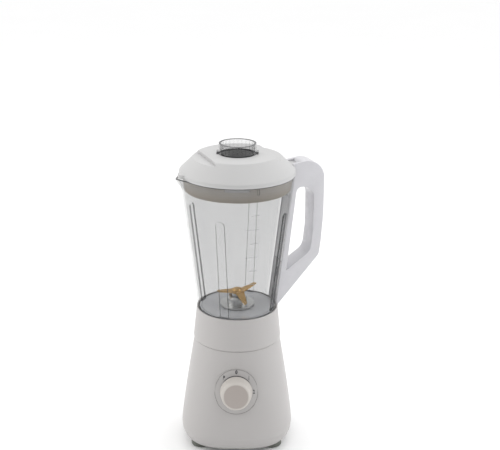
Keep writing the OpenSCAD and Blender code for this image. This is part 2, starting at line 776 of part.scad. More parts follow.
module handle_outline() {
  top_z = rim_z + head_rise;
  grip_in = grip_out - grip_t;
  difference() {
    polygon(concat(
      [[head_u, rim_z], [head_u, rim_z + 7]],
      [[head_u + 2, rim_z + 8.2], [head_u + 17, top_z]],
      arc(grip_out - 24, top_z - 24, 24, 84, 4, 10),
      [[grip_out, rim_z - 60], [grip_out - 2.5, rim_z - 95]],
      arc(grip_out - 10.5, rim_z - 110, 6, -5, -48, 4),
      [[glass_r(collar_top) + 2.5, collar_top + seat_gap],
       [glass_r(collar_top) - 2, collar_top + seat_gap], [rim_r - 2, rim_z]]));
    // Finger opening
    polygon(concat(
      arc(glass_r(rim_z - 34) + strip_t + 7.2, rim_z - 29, 7, 173, 90, 6),
      arc(grip_in - 15, rim_z - 37, 15, 90, 0, 8),
      [[grip_in, rim_z - 80]],
      arc(grip_in - 19, rim_z - 98, 17, -5, -58, 6),
      [[glass_r(rim_z - 129) + strip_t, rim_z - 129]]));
  }
}

module jar_handle() color("whitesmoke") difference() {
  union() {
    in_handle_plane(handle_w) handle_outline();
    in_handle_plane(handle_tongue_w) polygon([[skirt_r + 1, link_bend_z + 0.2],
      [glass_r(collar_top) + 2, link_bend_z + 4], [glass_r(collar_top) + 2, collar_top + 1],
      [skirt_r + 1, collar_top + 1]]);
  }
  // The jar wall and the cover strip lie in front of it
  wall_cone(-seat_gap, floor_z, rim_z);
  rod_z(ledge_clear_r, link_bend_z - 5, floor_z + eps);
  in_handle_plane(link_w + 0.8) polygon(
    link_side(link_w / 2 + 0.5, link_stroke + 0.4, rim_z + 1));
  in_handle_plane(back_strip_w + 2 * seat_gap) polygon(back_strip(0.2));
  // Notch that takes the lid's tab, open above
  in_handle_plane(tab_w + 2 * gap) polygon([[head_u - 1, rim_z - eps],
    [rim_r + tab_reach + gap, rim_z - eps], [rim_r + tab_reach + gap, rim_z + 40],
    [head_u - 1, rim_z + 40]]);
}

// Strip outline on the wall, from below the rim to above the collar
function back_strip(grow) = [
  [glass_r(rim_z - 5) - 2, rim_z - 5 + grow], [glass_r(rim_z - 5) + 1.5 + grow, rim_z - 5 + grow],
  [glass_r(collar_top + 14) + 1.5 + grow, collar_top + 14 - grow],
  [glass_r(collar_top + 14) - 2, collar_top + 14 - grow]];

module handle_back_cover() color("gainsboro") difference() {
  in_handle_plane(back_strip_w) polygon(back_strip(0));
  wall_cone(-seat_gap, floor_z, rim_z);
}

module safety_rod() color("silver") {
  in_handle_plane(link_w) polygon(link_side(link_w / 2, 0, link_top_z));
  at_link() rod_z(3, link_flange_z, link_flange_z + 1);
}

// Draws the link up towards the web
module rod_spring() color("silver") at_link() translate([0, 0, link_flange_z + 1 + seat_gap])
  spring(2.2, 0.6, web_z - link_flange_z - 1 - 2 * seat_gap, 6);

// ---------------------------------------------------------------- blade unit

module hub_gasket() color("gray") tube_z(20, stem_r + 0.2, collar_top, collar_top + gasket_t);

module blade_hub() color("silver") difference() {
  flange_z = collar_top + gasket_t;
  union() {
    rod_z(21.4, flange_z, flange_z + flange_t);
    rod_z(hub_d / 2, flange_z, hub_top - 2);
    translate([0, 0, hub_top - 2]) cylinder(r1 = hub_d / 2, r2 = hub_d / 2 - 2, h = 2);
    rod_z(stem_r, web_z + web_t + 2, flange_z + eps);
  }
  rod_z(bush_r, web_z, hub_top + 1);
}

module hub_nut() color("silver") difference() {
  translate([0, 0, floor_z - 6]) cylinder(r = 15, h = 6, $fn = 6);
  rod_z(stem_r, floor_z - 7, floor_z + 1);
}

module blade_bushes() color("darkgoldenrod") {
  tube_z(bush_r, bore_r, hub_top - 11, hub_top);
  tube_z(bush_r, bore_r, web_z + web_t + 2, web_z + web_t + 12);
}

module blade_shaft() color("lightgray") rod_z(shaft_r, driven_z, blade_z + 2 * blade_t + 1);

module blade_spacer() color("silver") tube_z(7, shaft_r, hub_top + 0.3, blade_z);

// One wing of a blade, bent up or down where it leaves the hub
module wing(az, bend, sweep) {
  root = 8;
  far = root + (blade_reach - root) * cos(bend);
  up = (blade_reach - root) * sin(bend);
  rotate([0, 0, az]) intersection() {
    translate([0, 8, 0]) rotate([90, 0, 0]) linear_extrude(16) polygon([[0, 0], [root, 0],
      [far, up], [far, up + blade_t / cos(bend)], [root, blade_t], [0, blade_t]]);
    translate([0, 0, -blade_reach]) linear_extrude(2 * blade_reach) polygon([[0, -6], [root, -5.5],
      [far, -1.5 + sweep], [far - 2, 3 + sweep], [root, 5.5], [0, 6]]);
  }
}

module blade(z, az, bends, sweep) translate([0, 0, z]) difference() {
  union() {
    cylinder(r = 8, h = blade_t);
    wing(az, bends[0], sweep);
    wing(az + 180, bends[1], sweep);
  }
  translate([0, 0, -1]) cylinder(r = shaft_r, h = blade_t + 2);
}

module lower_blade() color("goldenrod") blade(blade_z, -60, [-32, -28], -1);
module upper_blade() color("goldenrod") blade(blade_z + blade_t, 16, [22, 6], 1);

module blade_rivet() color("goldenrod") difference() {
  translate([0, 0, blade_z + 2 * blade_t]) cylinder(r1 = 6, r2 = 4.5, h = 2);
  rod_z(shaft_r, blade_z, blade_z + 2 * blade_t + 1);
}

module driven_coupling() color([0.1, 0.1, 0.11]) difference() {
  core_r = cup_coupling_in - tooth_depth - 0.6;
  union() {
    rod_z(core_r, driven_z, driven_z + driven_h);
    around(teeth, 180 / teeth) translate([core_r - 1, -tooth_w / 2, driven_z])
      cube([1 + tooth_depth - 0.1, tooth_w, driven_h - 1]);
  }
  rod_z(shaft_r, driven_z - 1, driven_z + driven_h + 1);
}

// ---------------------------------------------------------------- lid and cup

// Outer radius of the seal at a height: it follows the inside of the jar
function seal_r(z) = glass_r(z) - glass - gap;

module lid() color("white") {
  band_z = rim_z + band_h;
  slope_in = lid_top_r - 1;
  inner_r = seal_r(rim_z) - seal_t;
  low_r = seal_r(rim_z - skirt_h + 2) - seal_t;
  tube_r = cup_hole_r + lid_wall;
  difference() {
    union() {
      rotate_extrude() polygon([
        [cup_hole_r, rim_z - 2], [tube_r, rim_z - 2], [tube_r, lid_top - lid_wall],
        [slope_in - 1, lid_top - lid_wall], [inner_r - lid_wall, band_z - 1],
        [low_r - lid_wall, rim_z - skirt_h + 2], [low_r, rim_z - skirt_h + 2], [inner_r, rim_z],
        [band_r - 0.6, rim_z], [band_r, rim_z + 0.8], [band_r, band_z - 1.4], [band_r - 1, band_z],
        [lid_top_r + 1.2, lid_top - 0.7], [lid_top_r - 0.6, lid_top], [cup_hole_r + 0.6, lid_top],
        [cup_hole_r, lid_top - 0.6]]);
      // Floors under the finger pockets
      for (s = [0, 180]) rotate([0, 0, handle_az + s]) intersection() {
        tube_z(lid_top_r + 3.4, tube_r, lid_top - pocket_depth - lid_wall, lid_top - pocket_depth);
        translate([pocket_u - lid_wall, -60, rim_z]) cube([60, 120, 60]);
      }
      for (s = [0, 180]) rotate([0, 0, handle_az + s]) intersection() {
        tube_z(lid_top_r - 1, tube_r, lid_top - pocket_depth - lid_wall, lid_top - 1);
        translate([pocket_u - lid_wall, -60, rim_z]) cube([lid_wall, 120, 60]);
      }
      // Tab that drops into the notch of the handle
      in_handle_plane(tab_w) polygon([[head_u - 6, rim_z + gap], [rim_r + tab_reach - 1, rim_z + gap],
        [rim_r + tab_reach, rim_z + 1.5], [rim_r + tab_reach, rim_z + 5.5],
        [rim_r + tab_reach - 1.5, rim_z + 6.5], [head_u - 6, rim_z + 6.5]]);
      // Tongue over the spout
      rotate([0, 0, handle_az + 180]) translate([0, 0, rim_z + 1]) linear_extrude(4.5) union() {
        translate([rim_r - 6, -9]) square([6, 18]);
        translate([rim_r - 4, 0]) circle(r = 9);
      }
      // Bayonet ramps above the seal
      for (s = [0, 120, 240]) rotate([0, 0, s - 102]) rotate_extrude(angle = 25)
        polygon([[inner_r - 0.5, rim_z - 5], [seal_r(rim_z - 5), rim_z - 5],
          [seal_r(rim_z), rim_z + eps], [inner_r - 0.5, rim_z + eps]]);
    }
    // Finger pockets
    for (s = [0, 180]) rotate([0, 0, handle_az + s]) intersection() {
      rod_z(lid_top_r + 8, lid_top - pocket_depth, lid_top + 5);
      translate([pocket_u, -60, 0]) cube([60, 120, 500]);
    }
    // Flat beside the head of the handle
    rotate([0, 0, handle_az]) for (s = [-1, 1])
      translate([head_u - gap, s * (tab_w / 2 + 10) - 10 - (s < 0 ? eps : -eps), rim_z - 1])
        cube([20, 20, 60]);
  }
}

module lid_seal() color("cornsilk") {
  low_z = rim_z - skirt_h;
  difference() {
    rotate_extrude() polygon([
      [seal_r(low_z) - seal_t - 2, low_z], [seal_r(low_z) - 0.6, low_z], [seal_r(low_z), low_z + 0.6],
      [seal_r(rim_z), rim_z], [seal_r(rim_z) - seal_t + seat_gap / 4, rim_z],
      [seal_r(low_z + 2) - seal_t + seat_gap / 4, low_z + 2 - seat_gap],
      [seal_r(low_z) - seal_t - 2, low_z + 2 - seat_gap]]);
    for (s = [0, 120, 240]) rotate([0, 0, s - 102.3]) rotate_extrude(angle = 25.6)
      translate([rim_r - 20, rim_z - 5.2]) square([20, 6]);
  }
}

module measuring_cup() color([0.85, 0.87, 0.9, 0.5]) {
  low = lid_top - cup_drop;
  high = lid_top + cup_rise;
  upper_r = cup_hole_r + 0.5;
  difference() {
    union() {
      rod_z(cup_r, low, lid_top + eps);
      rod_z(upper_r, lid_top, high);
      for (s = [0, 180]) rotate([0, 0, s]) translate([upper_r - 1, -5, lid_top])
        cube([3.6, 10, 3]);
    }
    rod_z(cup_r - cup_wall, low + cup_wall, high + 1);
    around(24) translate([cup_r - cup_wall, 0, lid_top + 2]) rod_z(0.7, 0, cup_rise - 4);
    // Notches that find the lid
    around(2, 235) translate([cup_r - 0.7, -1.2, low - 1]) cube([3, 2.4, 7]);
  }
}

rubber_feet();
bottom_cover();
cover_screws();
base_housing();
top_deck();
shaft_seal();
motor_stator();
field_coils();
upper_bracket();
lower_bracket();
motor_bolts();
motor_mounts();
mount_screws();
upper_bearing();
lower_bearing();
brush_holders();
carbon_brushes();
motor_shaft();
armature();
commutator();
cooling_fan();
drive_coupling();
switch_body();
switch_nut();
switch_spindle();
speed_knob();
interlock_pin();
interlock_spring();
interlock_switch();
cord_inlet();
jar();
jar_collar();
collar_screws();
jar_handle();
handle_back_cover();
safety_rod();
rod_spring();
hub_gasket();
blade_hub();
hub_nut();
blade_bushes();
blade_shaft();
blade_spacer();
lower_blade();
upper_blade();
blade_rivet();
driven_coupling();
lid();
lid_seal();
measuring_cup();
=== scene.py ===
"""Looks of a countertop blender: motor base with a dial, clear jar with handle and blades, lid and cup."""

import json
import math

import bpy
from mathutils import Matrix, Vector

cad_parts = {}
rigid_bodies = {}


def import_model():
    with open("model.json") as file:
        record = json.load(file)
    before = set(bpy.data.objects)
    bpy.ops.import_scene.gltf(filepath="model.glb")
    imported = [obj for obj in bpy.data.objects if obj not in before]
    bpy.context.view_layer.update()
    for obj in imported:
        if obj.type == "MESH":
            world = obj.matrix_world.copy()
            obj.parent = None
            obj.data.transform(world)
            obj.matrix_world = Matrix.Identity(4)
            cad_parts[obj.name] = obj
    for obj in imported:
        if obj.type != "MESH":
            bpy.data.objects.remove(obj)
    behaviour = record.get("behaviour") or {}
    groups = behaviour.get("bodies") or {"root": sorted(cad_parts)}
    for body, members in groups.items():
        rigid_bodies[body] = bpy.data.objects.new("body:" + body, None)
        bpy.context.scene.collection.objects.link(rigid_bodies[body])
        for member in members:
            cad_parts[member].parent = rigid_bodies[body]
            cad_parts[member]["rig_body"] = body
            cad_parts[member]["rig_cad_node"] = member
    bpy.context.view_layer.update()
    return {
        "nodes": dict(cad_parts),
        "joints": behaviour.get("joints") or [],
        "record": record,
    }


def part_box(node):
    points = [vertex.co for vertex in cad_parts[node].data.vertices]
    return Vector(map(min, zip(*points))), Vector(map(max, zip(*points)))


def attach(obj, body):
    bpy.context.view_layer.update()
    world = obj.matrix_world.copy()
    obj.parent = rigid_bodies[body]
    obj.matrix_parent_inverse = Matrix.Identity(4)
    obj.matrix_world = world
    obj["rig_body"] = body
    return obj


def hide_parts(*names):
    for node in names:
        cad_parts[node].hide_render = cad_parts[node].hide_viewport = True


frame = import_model()

# Lengths are in metres; only the heel's outlines and widths are in millimetres
MM = 0.001
HANDLE_AZ = math.radians(21)
RIM_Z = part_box("lid_seal")[1].z
COLLAR_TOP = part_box("jar_collar")[1].z
STRIP_TOP_SEAM = RIM_Z - 0.035
STRIP_LOW_SEAM = COLLAR_TOP + 0.054
STRIP_SLOT = COLLAR_TOP + 0.0375
GLASS_LOW_R = 49.3 * MM
RIM_R = 70 * MM
WELD_GAP = 0.000004


def glass_r(z):
    """Outer radius of the clear wall at a height."""
    return GLASS_LOW_R + (RIM_R - GLASS_LOW_R) * (z - COLLAR_TOP) / (RIM_Z - COLLAR_TOP)


def handle_out(x, y):
    """Distance from the drive axis along the handle's plane, of numbers or of sockets."""
    return x * math.cos(HANDLE_AZ) + y * math.sin(HANDLE_AZ)


def handle_across(x, y):
    """Distance sideways from the handle's plane, of numbers or of sockets."""
    return y * math.cos(HANDLE_AZ) - x * math.sin(HANDLE_AZ)


# ------------------------------------------------------------- shader words

class Sock:
    """A shader socket; arithmetic on it adds Math nodes."""

    def __init__(self, nodes, socket):
        self.nodes = nodes
        self.socket = socket

    def _math(self, operation, *values):
        return self.nodes.node("ShaderNodeMath", {"operation": operation}, dict(enumerate(values)))

    def __add__(self, other):
        return self._math("ADD", self, other)

    __radd__ = __add__

    def __sub__(self, other):
        return self._math("SUBTRACT", self, other)

    def __rsub__(self, other):
        return self._math("SUBTRACT", other, self)

    def __mul__(self, other):
        return self._math("MULTIPLY", self, other)

    __rmul__ = __mul__

    def __truediv__(self, other):
        return self._math("DIVIDE", self, other)

    def __abs__(self):
        return self._math("ABSOLUTE", self)

    def root(self):
        return self._math("SQRT", self)

    def sine(self):
        return self._math("SINE", self)

    def higher(self, other):
        return self._math("MAXIMUM", self, other)

    def lower(self, other):
        return self._math("MINIMUM", self, other)

    def step(self, low, high):
        """0 below low, 1 above high, smooth between."""
        return self.nodes.node("ShaderNodeMapRange", {"interpolation_type": "SMOOTHSTEP"},
                               {"Value": self, "From Min": low, "From Max": high})


class Nodes:
    """A node tree, with one method that adds a node of any kind."""

    def __init__(self, tree):
        self.tree = tree

    def node(self, kind, settings, inputs, output=0):
        made = self.tree.nodes.new(kind)
        for name, value in settings.items():
            setattr(made, name, value)
        for name, value in inputs.items():
            if isinstance(value, Sock):
                self.tree.links.new(value.socket, made.inputs[name])
            else:
                made.inputs[name].default_value = value
        return Sock(self, made.outputs[output])

    def split(self, vector):
        """The x, y and z of a vector."""
        parts = self.node("ShaderNodeSeparateXYZ", {}, {"Vector": vector})
        return [Sock(self, output) for output in parts.socket.node.outputs]


class Look(Nodes):
    """One finish: a material built from its node tree."""

    def __init__(self, name):
        self.material = bpy.data.materials.new(name)
        self.material.use_nodes = True
        super().__init__(self.material.node_tree)
        self.shader = self.tree.nodes["Principled BSDF"]
        self.place = self.node("ShaderNodeTexCoord", {}, {}, "Object")

    def set(self, **inputs):
        """Sets or links the sockets of the shader; underscores stand for spaces."""
        for name, value in inputs.items():
            socket = self.shader.inputs[name.replace("_", " ")]
            if isinstance(value, Sock):
                self.tree.links.new(value.socket, socket)
            else:
                socket.default_value = value
        return self

    def noise(self, scale, detail=3.0, stretch=None):
        place = self.place
        if stretch:
            place = self.node("ShaderNodeMapping", {}, {"Vector": place, "Scale": stretch})
        return self.node("ShaderNodeTexNoise", {}, {"Vector": place, "Scale": scale, "Detail": detail}, "Fac")

    def axes(self):
        """The piece's own x, y and z."""
        return self.split(self.place)

    def radius(self):
        """Distance from the drive axis."""
        x, y, _ = self.axes()
        return (x * x + y * y).root()

    def blend(self, factor, first, second):
        return self.node("ShaderNodeMix", {"data_type": "RGBA"}, {"Factor": factor, 6: first, 7: second}, 2)

    def bump(self, height, strength, distance):
        return self.node("ShaderNodeBump", {}, {"Height": height, "Strength": strength, "Distance": distance})


def rgba(r, g, b):
    return (r, g, b, 1.0)


def shade(colour, factor):
    return rgba(*[min(1.0, c * factor) for c in colour])


def moulded(name, colour, rough=0.42, grain=2600.0, depth=0.25, coat=0.0, drift=0.05, sheen=0.5):
    """Moulded plastic: spark-eroded grain, slow drift of tone, and handling wear in the gloss."""
    look = Look(name)
    drifted = look.noise(14.0, 2.0)
    cells = look.node("ShaderNodeTexVoronoi", {}, {"Vector": look.place, "Scale": grain}, "Distance")
    fine = look.noise(grain * 0.6, 2.0)
    look.set(Base_Color=look.blend(drifted, shade(colour, 1 - drift), shade(colour, 1 + drift)),
             Roughness=rough - 0.05 + 0.07 * look.noise(35.0) + 0.05 * fine,
             Normal=look.bump(cells * 0.6 + fine, depth, 0.00006),
             Specular_IOR_Level=sheen, Coat_Weight=coat, Coat_Roughness=0.12)
    return look.material


LATHE_RINGS = 9000.0
DRAW_LINES = (40, 40, 900)


def turned_metal(name, colour, rough=0.28):
    """Bright metal with fine lathe rings and draw lines."""
    look = Look(name)
    lines = look.noise(8.0, 4.0, DRAW_LINES)
    stain = look.noise(60.0)
    wave = (look.radius() * LATHE_RINGS).sine()
    look.set(Base_Color=look.blend(stain, shade(colour, 0.82), shade(colour, 1.1)), Metallic=1.0,
             Roughness=rough - 0.06 + 0.14 * lines,
             Normal=look.bump(lines + wave * 0.2, 0.22, 0.00005))
    return look.material


def rubbery(name, colour, rough=0.7, grain=900.0, speckle=0.12):
    """Rubber, carbon or ink: dull, speckled, with an uneven bloom."""
    look = Look(name)
    dust = look.noise(grain, 4.0)
    bloom = look.noise(40.0)
    look.set(Base_Color=look.blend(dust * bloom, shade(colour, 1 - speckle), shade(colour, 1 + 3 * speckle)),
             Roughness=rough - 0.08 + 0.16 * bloom,
             Normal=look.bump(dust, 0.4, 0.00012), Specular_IOR_Level=0.35)
    return look.material


def silicone():
    """Cream silicone: a touch translucent, banded where its lips lie over each other."""
    look = Look("seal_silicone")
    _, _, z = look.axes()
    top = look.blend(look.noise(30.0), rgba(0.50, 0.47, 0.43), rgba(0.46, 0.43, 0.39))
    low = look.blend(look.noise(30.0), rgba(0.40, 0.36, 0.31), rgba(0.35, 0.31, 0.26))
    near_lip = z.step(RIM_Z - 0.019, RIM_Z - 0.004)
    bands = (z * 2900.0).sine()
    look.set(Base_Color=look.blend(near_lip, low, top),
             Roughness=0.42 + 0.12 * look.noise(200.0),
             Normal=look.bump(bands + look.noise(500.0), 0.12, 0.0002),
             Subsurface_Weight=0.15, Subsurface_Radius=(0.006, 0.005, 0.004), Subsurface_Scale=1.0)
    return look.material


def beside_handle(look):
    """1 on the stretch of the jar that the handle backs, and 0 elsewhere."""
    x, y, _ = look.axes()
    sideways = abs(handle_across(x, y))
    outwards = handle_out(x, y)
    return (1 - sideways.step(0.0105, 0.0135)) * outwards.step(0.02, 0.03)


def clear_wall(name, tint, levels, line, body, painted_edge_dark, floor_z=None):
    """Clear moulded plastic: nearly unseen walls, with painted shade: dark lines painted where an edge turns
    the light away, and a darker, denser wall painted at grazing angles.

    Each of the levels gets a dark band of painted shade as wide as line. body is how much the wall covers,
    and the argument after it how strong the painted edge shade is. With floor_z, what lies inside and below
    that height is a frosted floor.
    """
    look = Look(name)
    x, y, z = look.axes()
    normal = look.node("ShaderNodeNewGeometry", {}, {}, "Normal")
    nx, ny, nz = look.split(normal)
    radius = look.radius()
    sideways = abs((nx * y - ny * x) / (radius + 0.00001))
    # Painted shade: dark where a wall face turns sideways round the axis, as at an edge, and in a band at
    # each level
    edge = sideways.step(0.55, 0.85) * (1 - abs(nz).step(0.5, 0.8)) * painted_edge_dark
    for level in levels:
        edge = edge.higher(1 - abs(z - level).step(line * 0.6, line))
    # Painted shade: at grazing angles the tint darkens and the wall grows denser
    graze = look.node("ShaderNodeLayerWeight", {}, {"Blend": 0.2}, "Facing")
    streak = look.noise(4.0, 3.0, (18, 18, 1.2))
    clear = look.blend(graze, rgba(*tint), shade(tint, 0.5))
    grazing_painted_shade = graze * graze
    if floor_z:
        grazing_painted_shade = grazing_painted_shade * grazing_painted_shade
    alpha = body + 0.05 * streak + 0.5 * grazing_painted_shade
    if floor_z:
        # White plastic behind the wall takes its grey cast away, and below the rim most of the painted edge
        # shade
        backed = beside_handle(look)
        alpha = alpha * (1 - 0.85 * backed)
        edge = edge * (1 - 0.6 * backed * (1 - z.step(RIM_Z - 0.002, RIM_Z - 0.001)))
        # The frosted floor, with two dark rings added to the painted edge shade; the outer one is painted
        # shade along the wall's foot
        floor = (1 - z.step(floor_z + 0.0002, floor_z + 0.0005)) * (1 - radius.step(0.0466, 0.0470))
        for ring, strength in ((0.0445, 0.55), (0.0305, 0.25)):
            edge = edge.higher(floor * strength * (1 - abs(radius - ring).step(0.0003, 0.0007)))
        frost = look.blend(look.noise(70.0), rgba(0.62, 0.63, 0.66), rgba(0.74, 0.75, 0.77))
        clear = look.blend(floor, clear, frost)
        alpha = alpha.higher(0.86 * floor)
    # The edge mask paints near-black shade over the tint
    look.set(Base_Color=look.blend(edge, clear, rgba(0.05, 0.052, 0.056)),
             Roughness=0.03 + 0.05 * streak,
             Alpha=(alpha + 0.8 * edge).lower(1.0),
             Normal=look.bump(look.noise(55.0, 1.0), 0.05, 0.0004),
             IOR=1.5, Specular_IOR_Level=0.6)
    return look.material


def dial_knob(centre, axis, face_r):
    """Warm white knob: a matt face, and a paler side that is painted light, as the side catches light from
    above.
    """
    look = Look("knob_warm_white")
    away = look.node("ShaderNodeVectorMath", {"operation": "SUBTRACT"}, {0: look.place, 1: centre})
    along = look.node("ShaderNodeVectorMath", {"operation": "DOT_PRODUCT"}, {0: away, 1: axis}, 1)
    far = look.node("ShaderNodeVectorMath", {"operation": "LENGTH"}, {0: away}, 1)
    radius = (far * far - along * along).higher(0.0).root()
    # Painted light: the side past the face is painted paler where light from above catches it
    side = radius.step(face_r - 0.0010, face_r - 0.0002)
    grain = look.noise(2400.0, 2.0)
    warm = look.blend(look.noise(14.0), rgba(0.375, 0.335, 0.31), rgba(0.40, 0.36, 0.335))
    pale = look.blend(look.noise(50.0), rgba(0.49, 0.46, 0.43), rgba(0.54, 0.51, 0.475))
    look.set(Base_Color=look.blend(side, warm, pale), Roughness=0.34 + 0.1 * grain,
             Normal=look.bump(grain, 0.18, 0.00005))
    return look.material


def seamed_strip():
    """The strip behind the jar wall: two cross seams, a darker lower panel and the link's slot, painted
    near-black as the shade inside it.
    """
    look = Look("strip_pale_grey")
    x, y, z = look.axes()
    sideways = abs(handle_across(x, y))
    lower = 1 - z.step(STRIP_LOW_SEAM - 0.0004, STRIP_LOW_SEAM)
    mark = (1 - abs(z - STRIP_LOW_SEAM).step(0.0003, 0.0007)).higher(
        0.6 * (1 - abs(z - STRIP_TOP_SEAM).step(0.0003, 0.0007)))
    # Painted shade: the link's slot is a near-black patch for the shade inside it
    slot = (1 - abs(z - STRIP_SLOT).step(0.0066, 0.0070)) * (1 - sideways.step(0.0016, 0.0020))
    grain = look.noise(900.0, 2.0)
    pale = look.blend(lower, rgba(0.90, 0.90, 0.92), rgba(0.62, 0.62, 0.64))
    look.set(Base_Color=look.blend(mark.higher(slot * 0.9), pale, rgba(0.05, 0.05, 0.052)),
             Roughness=0.28 + 0.08 * grain, Normal=look.bump(grain, 0.15, 0.00005))
    return look.material


SHEET_PITCH = 0.0009
WIRE_PITCH = 0.0009


def stacked_sheet():
    """Motor laminations: thin steel sheets, varnished."""
    look = Look("motor_laminations")
    _, _, z = look.axes()
    sheets = (z * (math.tau / SHEET_PITCH)).sine()
    rust = look.noise(90.0, 4.0)
    look.set(Base_Color=look.blend(sheets.step(-0.6, 0.6) * rust,
                                   rgba(0.16, 0.17, 0.18), rgba(0.42, 0.42, 0.43)),
             Metallic=0.85, Roughness=0.42 + 0.15 * rust, Normal=look.bump(sheets, 0.5, 0.0001))
    return look.material


def wound_copper():
    """Enamelled wire, laid side by side."""
    look = Look("wound_copper")
    _, _, z = look.axes()
    along = abs((z * (math.pi / WIRE_PITCH)).sine())
    turns = along + abs((look.radius() * (math.pi / WIRE_PITCH)).sine())
    look.set(Base_Color=look.blend(look.noise(120.0), rgba(0.50, 0.19, 0.07), rgba(0.72, 0.34, 0.14)),
             Metallic=0.9, Roughness=0.28 + 0.12 * look.noise(300.0), Normal=look.bump(turns, 0.7, 0.0003))
    return look.material


def coated_blade():
    """Golden coating over ground steel, thinner towards the sharpened edges."""
    look = Look("blade_coating")
    ground = look.noise(9.0, 4.0, (260, 40, 260))
    wear = look.noise(140.0, 3.0)
    gold = look.blend(wear, rgba(0.46, 0.27, 0.09), rgba(0.76, 0.50, 0.20))
    tip = look.radius().step(0.017, 0.025) * 0.35
    look.set(Base_Color=look.blend(tip * wear, gold, rgba(0.60, 0.56, 0.50)), Metallic=0.9,
             Roughness=0.26 + 0.16 * ground, Normal=look.bump(ground, 0.3, 0.00005))
    return look.material


# ---------------------------------------------------------------- finishes

BASE_WHITE = (0.45, 0.435, 0.428)
LID_WHITE = (0.52, 0.518, 0.517)
HANDLE_WHITE = (0.60, 0.595, 0.62)
KNOB_FACE_R = 0.0155

knob_joint = next(j for j in frame["joints"] if j["name"] == "knob_turn")
dial_centre = Vector(knob_joint["pos_m"])
dial_axis = -Vector(knob_joint["axis"]).normalized()

finish = {
    "base_white": moulded("base_white", BASE_WHITE, 0.40, drift=0.025),
    # Painted light: the deck's white is the base white made 12% lighter, to make up for the shade under the
    # jar; its glossy coat is not painted
    "deck_white": moulded("deck_white", shade(BASE_WHITE, 1.12)[:3], 0.17, 2600.0, 0.06,
                          coat=0.7, drift=0.02),
    "knob_white": dial_knob(dial_centre, dial_axis, KNOB_FACE_R),
    "cover_grey": seamed_strip(),
    "foot_rubber": rubbery("foot_rubber", (0.14, 0.148, 0.13)),
    "seal_rubber": rubbery("black_rubber", (0.03, 0.03, 0.03)),
    "silicone": silicone(),
    "coupling_black": moulded("coupling_nylon", (0.006, 0.006, 0.0065), 0.45, 1800.0, 0.4,
                              drift=0.2, sheen=0.22),
    "dark_plastic": moulded("dark_plastic", (0.03, 0.03, 0.033), 0.45, 2000.0, 0.35, drift=0.15),
    "lamination": stacked_sheet(),
    "copper_wire": wound_copper(),
    "brass_part": turned_metal("brass", (0.62, 0.45, 0.20), 0.30),
    "carbon": rubbery("carbon_block", (0.025, 0.025, 0.027), 0.55, 1600.0, 0.4),
    "steel": turned_metal("bright_steel", (0.56, 0.57, 0.58)),
    "bearing_steel": turned_metal("ground_bearing_steel", (0.47, 0.48, 0.50), 0.2),
    "zinc": turned_metal("pressed_zinc", (0.50, 0.51, 0.53), 0.42),
    "handle_white": moulded("handle_cool_white", HANDLE_WHITE, 0.27, 2600.0, 0.10, coat=0.25, drift=0.02),
    "lid_white": moulded("lid_white", LID_WHITE, 0.38, 3000.0, 0.10, coat=0.03, drift=0.02, sheen=0.25),
    "hub_steel": turned_metal("hub_steel", (0.66, 0.665, 0.66), 0.30),
    "blade_gold": coated_blade(),
}
jar_clear = clear_wall("jar_clear", (0.07, 0.072, 0.075), [RIM_Z], 0.0009, 0.15, 0.7, COLLAR_TOP)
cup_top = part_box("measuring_cup")[1].z
cup_clear = clear_wall("cup_clear", (0.12, 0.122, 0.125), [cup_top, cup_top - 0.013], 0.0007, 0.07, 0.3)
# Ink of the dial's printed marks; also the near-black of the painted shadow ring round the knob
print_ink_and_gap_shade = rubbery("print_ink_and_gap_shade", (0.10, 0.10, 0.105), 0.5, 900.0, 0.1)
scale_ink = rubbery("scale_ink", (0.36, 0.365, 0.37), 0.4, 900.0, 0.05)

# A slot with no finish of its own is a clear one
for row in frame["record"]["subparts"]:
    part = frame["nodes"][row["node"]]
    chosen = finish.get(row["material_slot"], cup_clear)
    part.data.materials.clear()
    part.data.materials.append(chosen)


# ------------------------------------------------------------- making words

def clear_selection():
    if bpy.context.object and bpy.context.object.mode != "OBJECT":
        bpy.ops.object.mode_set(mode="OBJECT")
    bpy.ops.object.select_all(action="DESELECT")


def pick(piece):
    clear_selection()
    piece.select_set(True)
    bpy.context.view_layer.objects.active = piece


def settle(piece, name, body, material):
    """Puts a finished piece's place in its mesh, and lets it ride on its body."""
    pick(piece)
    bpy.ops.object.transform_apply(location=True, rotation=True, scale=True)
    piece.name = name
    piece.data.name = name
    piece.data.materials.clear()
    piece.data.materials.append(material)
    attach(piece, body)
    return piece


def merged_copy(node):
    """A CAD node's mesh with its loose triangles joined and its custom normals cleared."""
    source = frame["nodes"][node]
    piece = source.copy()
    piece.data = source.data.copy()
    piece.parent = None
    bpy.context.scene.collection.objects.link(piece)
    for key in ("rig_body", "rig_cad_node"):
        if key in piece:
            del piece[key]
    pick(piece)
    if piece.data.has_custom_normals:
        bpy.ops.mesh.customdata_custom_splitnormals_clear()
    bpy.ops.object.mode_set(mode="EDIT")
    bpy.ops.mesh.select_all(action="SELECT")
    bpy.ops.mesh.remove_doubles(threshold=WELD_GAP)
    bpy.ops.object.mode_set(mode="OBJECT")
    return piece


def apply_all(piece):
    pick(piece)
    for modifier in list(piece.modifiers):
        bpy.ops.object.modifier_apply(modifier=modifier.name)


def smooth(piece, degrees):
    pick(piece)
    bpy.ops.object.shade_smooth_by_angle(angle=math.radians(degrees))


# ---------------------------------------------------------------- housing

